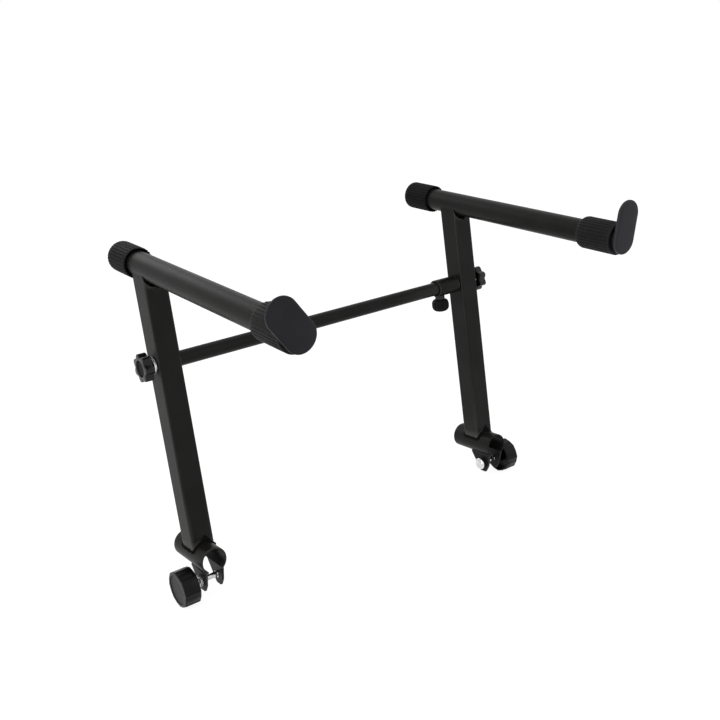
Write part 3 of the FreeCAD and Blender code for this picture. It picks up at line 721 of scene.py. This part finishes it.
def makeClampKnob():
    # a cup with eight narrow ridges down its side and a dished face
    s = clampKnob
    face = s["length"] - s["recess"]
    inside = s["radius"] - s["wall"]
    floor = face - s["floorThickness"]
    side = s["length"] - s["round"]
    rim = s["radius"] - s["rimWidth"]
    outline = [(s["socket"], 12), (s["socket"], -s["hubReach"]), (s["hub"], -s["hubReach"]),
               (s["hub"], floor), (inside, floor), (inside, 0.6), (inside + 0.5, 0), (s["radius"] - 1, 0),
               (s["radius"], 1), (s["radius"], side / 2), (s["radius"], side)]
    outline += roundOver(s["radius"], s["length"], s["round"], 5)
    outline += [(rim, s["length"]), (rim - 0.4, s["length"] - 0.3), (rim - 0.7, face + 0.3),
                (rim - 1.2, face), (8, face), (0, face)]
    bm = lathe(outline, s["stepsPerRidge"] * s["ridges"])
    for vert in bm.verts:
        reach = vert.co.xy.length
        if reach > inside + 1 and vert.co.z > -0.1:
            # the side sinks between the ridges, less and less over the rounded edge
            angle = math.atan2(vert.co.y, vert.co.x)
            crest = abs(math.cos(angle * s["ridges"] / 2)) ** s["ridgeSharpness"]
            sink = (s["radius"] - s["valley"]) * (1 - crest)
            share = min((reach - inside - 1) / (s["radius"] - inside - 1), 1)
            vert.co.xy = vert.co.xy * (1 - sink * share / reach)
    for item in bm.faces:
        middle = item.calc_center_median()
        if middle.xy.length < rim - 0.6 and middle.z > floor + 0.5:
            item.material_index = 1
    return bm


for side in sides:
    body = side + "_frame"
    way = sides[side]
    middle = Vector((sideX(side), 0, 0))
    forwards = axes((1, 0, 0), (0, 0, -1), (0, -1, 0), middle + Vector((0, clampTube["length"] / 2, 0)))
    addPiece(side + "ClampTube", makeClampTube(), forwards, powderCoat, body,
             [side + "_clamp_tube"], smooth=40)
    for label, towards in (("Inner", -way), ("Outer", way)):
        start = ear["gap"] / 2 if towards > 0 else -ear["gap"] / 2 - ear["thickness"]
        earPlace = axes((0, 1, 0), (0, 0, 1), (1, 0, 0), middle + Vector((start, 0, 0)))
        addPiece(side + label + "Ear", makeEar(), earPlace, powderCoat, body,
                 [side + "_clamp_" + label.lower() + "_ear"])
    point = middle + boltPoint
    earFace = ear["gap"] / 2 + ear["thickness"]
    boltPlace = outwards(side, point, -earFace - bolt["standoff"][side])
    addPiece(side + "ClampBolt", makeBolt(), boltPlace, zinc, body, [side + "_clamp_bolt"])
    addPiece(side + "ClampWashers", makeWashers(washer["clampRadius"]), outwards(side, point, earFace), zinc,
             body, [side + "_clamp_washers"])
    hubFace = earFace + 2 * (washer["thickness"] + washer["gap"]) + clampKnob["gap"][side]
    knobPlace = outwards(side, point, hubFace + clampKnob["hubReach"])
    addPiece(side + "ClampKnob", makeClampKnob(), knobPlace, (nylon, scuffedNylon), side + "_clamp_knob",
             [side + "_clamp_knob"])
print("clamps")


# pivot knobs

starKnob = {
    "tip": 19, "core": 15.2, "lobes": 7, "thickness": 12, "hub": 9, "hubLength": 3, "recessRadius": 11,
    "recess": 1.5, "edge": 1.3, "gap": 0.3, "bore": 4.2, "lobeShape": 0.75, "stepsPerLobe": 14,
    "rings": (3.5, 8.5),  # above the hub
}


def makeStarKnob():
    s = starKnob
    bm = bmesh.new()
    bmesh.ops.create_circle(bm, cap_ends=True, segments=s["stepsPerLobe"] * s["lobes"], radius=s["tip"])
    for vert in bm.verts:
        angle = math.atan2(vert.co.y, vert.co.x)
        lobe = (0.5 + 0.5 * math.cos(s["lobes"] * angle)) ** s["lobeShape"]
        vert.co *= (s["core"] + (s["tip"] - s["core"]) * lobe) / s["tip"]
    thicken(bm, s["thickness"])
    bmesh.ops.recalc_face_normals(bm, faces=bm.faces)
    soften(bm, s["edge"], segments=4, angle=60)
    bmesh.ops.translate(bm, verts=bm.verts, vec=(0, 0, s["hubLength"]))
    ringAt(bm, *(s["hubLength"] + height for height in s["rings"]))
    # the outer face is drawn in to a round and then sunk
    outer = max(bm.faces, key=lambda item: item.calc_center_median().z)
    bmesh.ops.inset_region(bm, faces=[outer], thickness=1.2, depth=0, use_even_offset=True)
    for vert in outer.verts:
        vert.co.xy = vert.co.xy.normalized() * s["recessRadius"]
    bmesh.ops.inset_region(bm, faces=[outer], thickness=0.5, depth=0, use_even_offset=True)
    bmesh.ops.translate(bm, verts=list(outer.verts), vec=(0, 0, -s["recess"]))
    outer.material_index = 1
    join(bm, lathe([(s["bore"], 0.1), (s["hub"] - 0.4, 0), (s["hub"], 0.4), (s["hub"], s["hubLength"] + 1),
                    (s["bore"], s["hubLength"] + 1)], 48, closed=True))
    return bm


for side in sides:
    point = upAlong(side, stand["pivotHeight"])
    face = upright["half"]
    addPiece(side + "StarWashers", makeWashers(washer["starRadius"]), outwards(side, point, face), zinc,
             side + "_frame", [side + "_star_washers"])
    knobFace = face + 2 * (washer["thickness"] + washer["gap"]) + starKnob["gap"]
    addPiece(side + "StarKnob", makeStarKnob(), outwards(side, point, knobFace), (polishedNylon, agedNylon),
             side + "_star_knob", [side + "_star_knob"], smooth=40)
print("pivot knobs")


# crossbar, sleeve and thumb screw

sleeve = {
    "length": 40, "radius": 12.98, "bore": 10.08, "edge": 0.5, "screwFromUpright": 31.6, "end": 495.7,
    "mouth": 11.9, "mouthDepth": 3, "nutWidth": 13, "nutReach": 4.2, "nutSunk": 2,
    "rings": (3, 20, 37),
}
thumbKnob = {
    "radius": 13.2, "valley": 12.4, "height": 18.5, "flutes": 14, "round": 8, "gap": 0.7, "neck": 9,
    "fluteShape": 2, "stepsPerFlute": 8,
}


def makeNut():
    s = sleeve
    bm = bmesh.new()
    bmesh.ops.create_circle(bm, cap_ends=True, segments=6, radius=s["nutWidth"] / math.sqrt(3))
    thicken(bm, s["nutReach"] + s["nutSunk"])
    soften(bm, 0.5, angle=40)
    return bm


def makeThumbKnob():
    s = thumbKnob
    outline = [(3.2, 3), (3.2, 0), (s["neck"], 0), (s["neck"] + 0.5, 0.5), (s["radius"] - 2, 1.3),
               (s["radius"] - 1, 3), (s["radius"] - 0.3, 5), (s["radius"], 7),
               (s["radius"], s["height"] - s["round"])]
    outline += roundOver(s["radius"], s["height"], s["round"], 6)
    outline.append((0, s["height"]))
    bm = lathe(outline, s["stepsPerFlute"] * s["flutes"])
    for vert in bm.verts:
        reach = vert.co.xy.length
        if reach > s["neck"] + 0.7:
            angle = math.atan2(vert.co.y, vert.co.x)
            dip = (0.5 - 0.5 * math.cos(s["flutes"] * angle)) ** s["fluteShape"]
            share = (reach - s["neck"]) / (s["radius"] - s["neck"])
            vert.co.xy = vert.co.xy * (1 - (s["radius"] - s["valley"]) * dip * share / reach)
    return bm


pivot = upAlong("left", stand["pivotHeight"])
alongX = ((0, 1, 0), (0, 0, 1), (1, 0, 0))
downwards = ((1, 0, 0), (0, -1, 0), (0, 0, -1))
s = tubing
outside, inside = s["crossbarRadius"], s["crossbarRadius"] - s["crossbarWall"]
bar = lathe([(outside, 0.4), (outside, s["crossbarLength"]), (inside, s["crossbarLength"]), (inside, 0),
             (outside - 0.4, 0)], 72, closed=True)
ringAt(bar, *s["crossbarRings"])
addPiece("crossbarTube", bar, axes(*alongX, pivot + Vector((s["crossbarStart"], 0, 0))), powderCoat,
         "crossbar", ["crossbar_tube"])

s = sleeve
edge = s["edge"]
tube = lathe([(s["mouth"], 0), (s["radius"] - edge, 0), (s["radius"] - edge * 0.3, edge * 0.3),
              (s["radius"], edge), (s["radius"], s["length"] - edge), (s["radius"] - edge, s["length"]),
              (s["bore"], s["length"]), (s["bore"], s["mouthDepth"])], 72, closed=True)
ringAt(tube, *s["rings"])
addPiece("sleeveTube", tube, axes(*alongX, pivot + Vector((s["end"] - s["length"], 0, 0))), powderCoat,
         "sleeve", ["sleeve_tube"])
screwPoint = pivot + Vector((s["end"] - s["screwFromUpright"], 0, 0))
nutPlace = axes(*downwards, screwPoint - Vector((0, 0, s["radius"] - s["nutSunk"])))
addPiece("sleeveNut", makeNut(), nutPlace, powderCoat, "sleeve", ["sleeve_nut"])
knobDrop = s["radius"] + s["nutReach"] + thumbKnob["gap"]
addPiece("thumbKnob", makeThumbKnob(), axes(*downwards, screwPoint - Vector((0, 0, knobDrop))), rubber,
         "thumb_knob", ["thumb_knob"], smooth=45)
print("crossbar and sleeve")


# floor, light and camera

studio = {
    "floorColour": "#F2F2F2", "floorDrop": 0.0005, "floorSize": 12, "worldGlow": 0.7,
    # the glow is three quarters of what is seen of the floor and the lit paper the rest, so that together
    # they come to white and the object's shadow still shows
    "backdropShare": 0.75, "backdropGlow": 1.2,
    "lamps": [
        # name, place, width, height and power in watts; all point at the middle of the stand
        ("keyLamp", (-1.0, -0.7, 1.5), 0.7, 0.7, 5),
        ("stripLamp", (-1.6, -0.5, 0.5), 0.25, 1.4, 9),
        ("topLamp", (0.0, 1.5, 1.3), 0.8, 0.8, 3.5),
        ("fillLamp", (1.2, -1.3, 0.8), 1.2, 1.2, 2.5),
    ],
    "aim": (0.256, 0, 0.2),
}
lens = {
    "place": (-477.35, -1090.15, 590.83), "right": (0.79661, -0.59690, -0.09536),
    "up": (0.24533, 0.17508, 0.95346), "back": (-0.55243, -0.78296, 0.28592), "focal": 48.08, "sensor": 36,
}


def seenShare(tree):
    # 1 for camera, glossy and transmission rays, which see the white background
    rays = addNode(tree, "ShaderNodeLightPath").outputs
    seen = rays["Is Camera Ray"]
    for other in ("Is Glossy Ray", "Is Transmission Ray"):
        seen = addNode(tree, "ShaderNodeMath", {"operation": "MAXIMUM"}, {0: seen, 1: rays[other]}).outputs[0]
    return seen


floorMesh = bmesh.new()
bmesh.ops.create_grid(floorMesh, x_segments=1, y_segments=1, size=studio["floorSize"] / 2)
bmesh.ops.translate(floorMesh, verts=floorMesh.verts, vec=(0, 0, cadBox[0][2] - studio["floorDrop"]))
mesh = bpy.data.meshes.new("floor")
floorMesh.to_mesh(mesh)
floorMesh.free()
linkNew("floor", mesh)

paper = bpy.data.materials.new("backdropPaper")
paper.use_nodes = True
tree = paper.node_tree
diffuse = tree.nodes["Principled BSDF"]
diffuse.inputs["Base Color"].default_value = linear(studio["floorColour"])
diffuse.inputs["Roughness"].default_value = 0.9
diffuse.inputs["Specular IOR Level"].default_value = 0.1
share = addNode(tree, "ShaderNodeMath", {"operation": "MULTIPLY", 1: studio["backdropShare"]},
                {0: seenShare(tree)})
glow = addNode(tree, "ShaderNodeEmission", {"Color": (1, 1, 1, 1), "Strength": studio["backdropGlow"]})
mixed = addNode(tree, "ShaderNodeMixShader",
                links={0: share.outputs[0], 1: diffuse.outputs[0], 2: glow.outputs[0]})
tree.links.new(mixed.outputs[0], tree.nodes["Material Output"].inputs["Surface"])
mesh.materials.append(paper)

world = bpy.data.worlds.new("studioWorld")
bpy.context.scene.world = world
world.use_nodes = True
tree = world.node_tree
tree.nodes.clear()
room = addNode(tree, "ShaderNodeBackground", {"Color": (1, 1, 1, 1), "Strength": studio["worldGlow"]})
backdrop = addNode(tree, "ShaderNodeBackground", {"Color": (1, 1, 1, 1), "Strength": 1.0})
mixed = addNode(tree, "ShaderNodeMixShader",
                links={0: seenShare(tree), 1: room.outputs[0], 2: backdrop.outputs[0]})
addNode(tree, "ShaderNodeOutputWorld", links={"Surface": mixed.outputs[0]})

aim = Vector(studio["aim"])
for name, spot, width, height, power in studio["lamps"]:
    light = bpy.data.lights.new(name, "AREA")
    light.shape = "RECTANGLE"
    light.size = width
    light.size_y = height
    light.energy = power
    lamp = linkNew(name, light)
    lamp.location = spot
    lamp.rotation_euler = (aim - Vector(spot)).to_track_quat("-Z", "Y").to_euler()

cameraData = bpy.data.cameras.new("camera")
cameraData.lens = lens["focal"]
cameraData.sensor_width = lens["sensor"]
camera = linkNew("camera", cameraData)
camera.matrix_world = axes(lens["right"], lens["up"], lens["back"], Vector(lens["place"]) / 1000)
bpy.context.scene.camera = camera
bpy.context.scene.view_settings.view_transform = "Standard"
print("floor, light and camera")
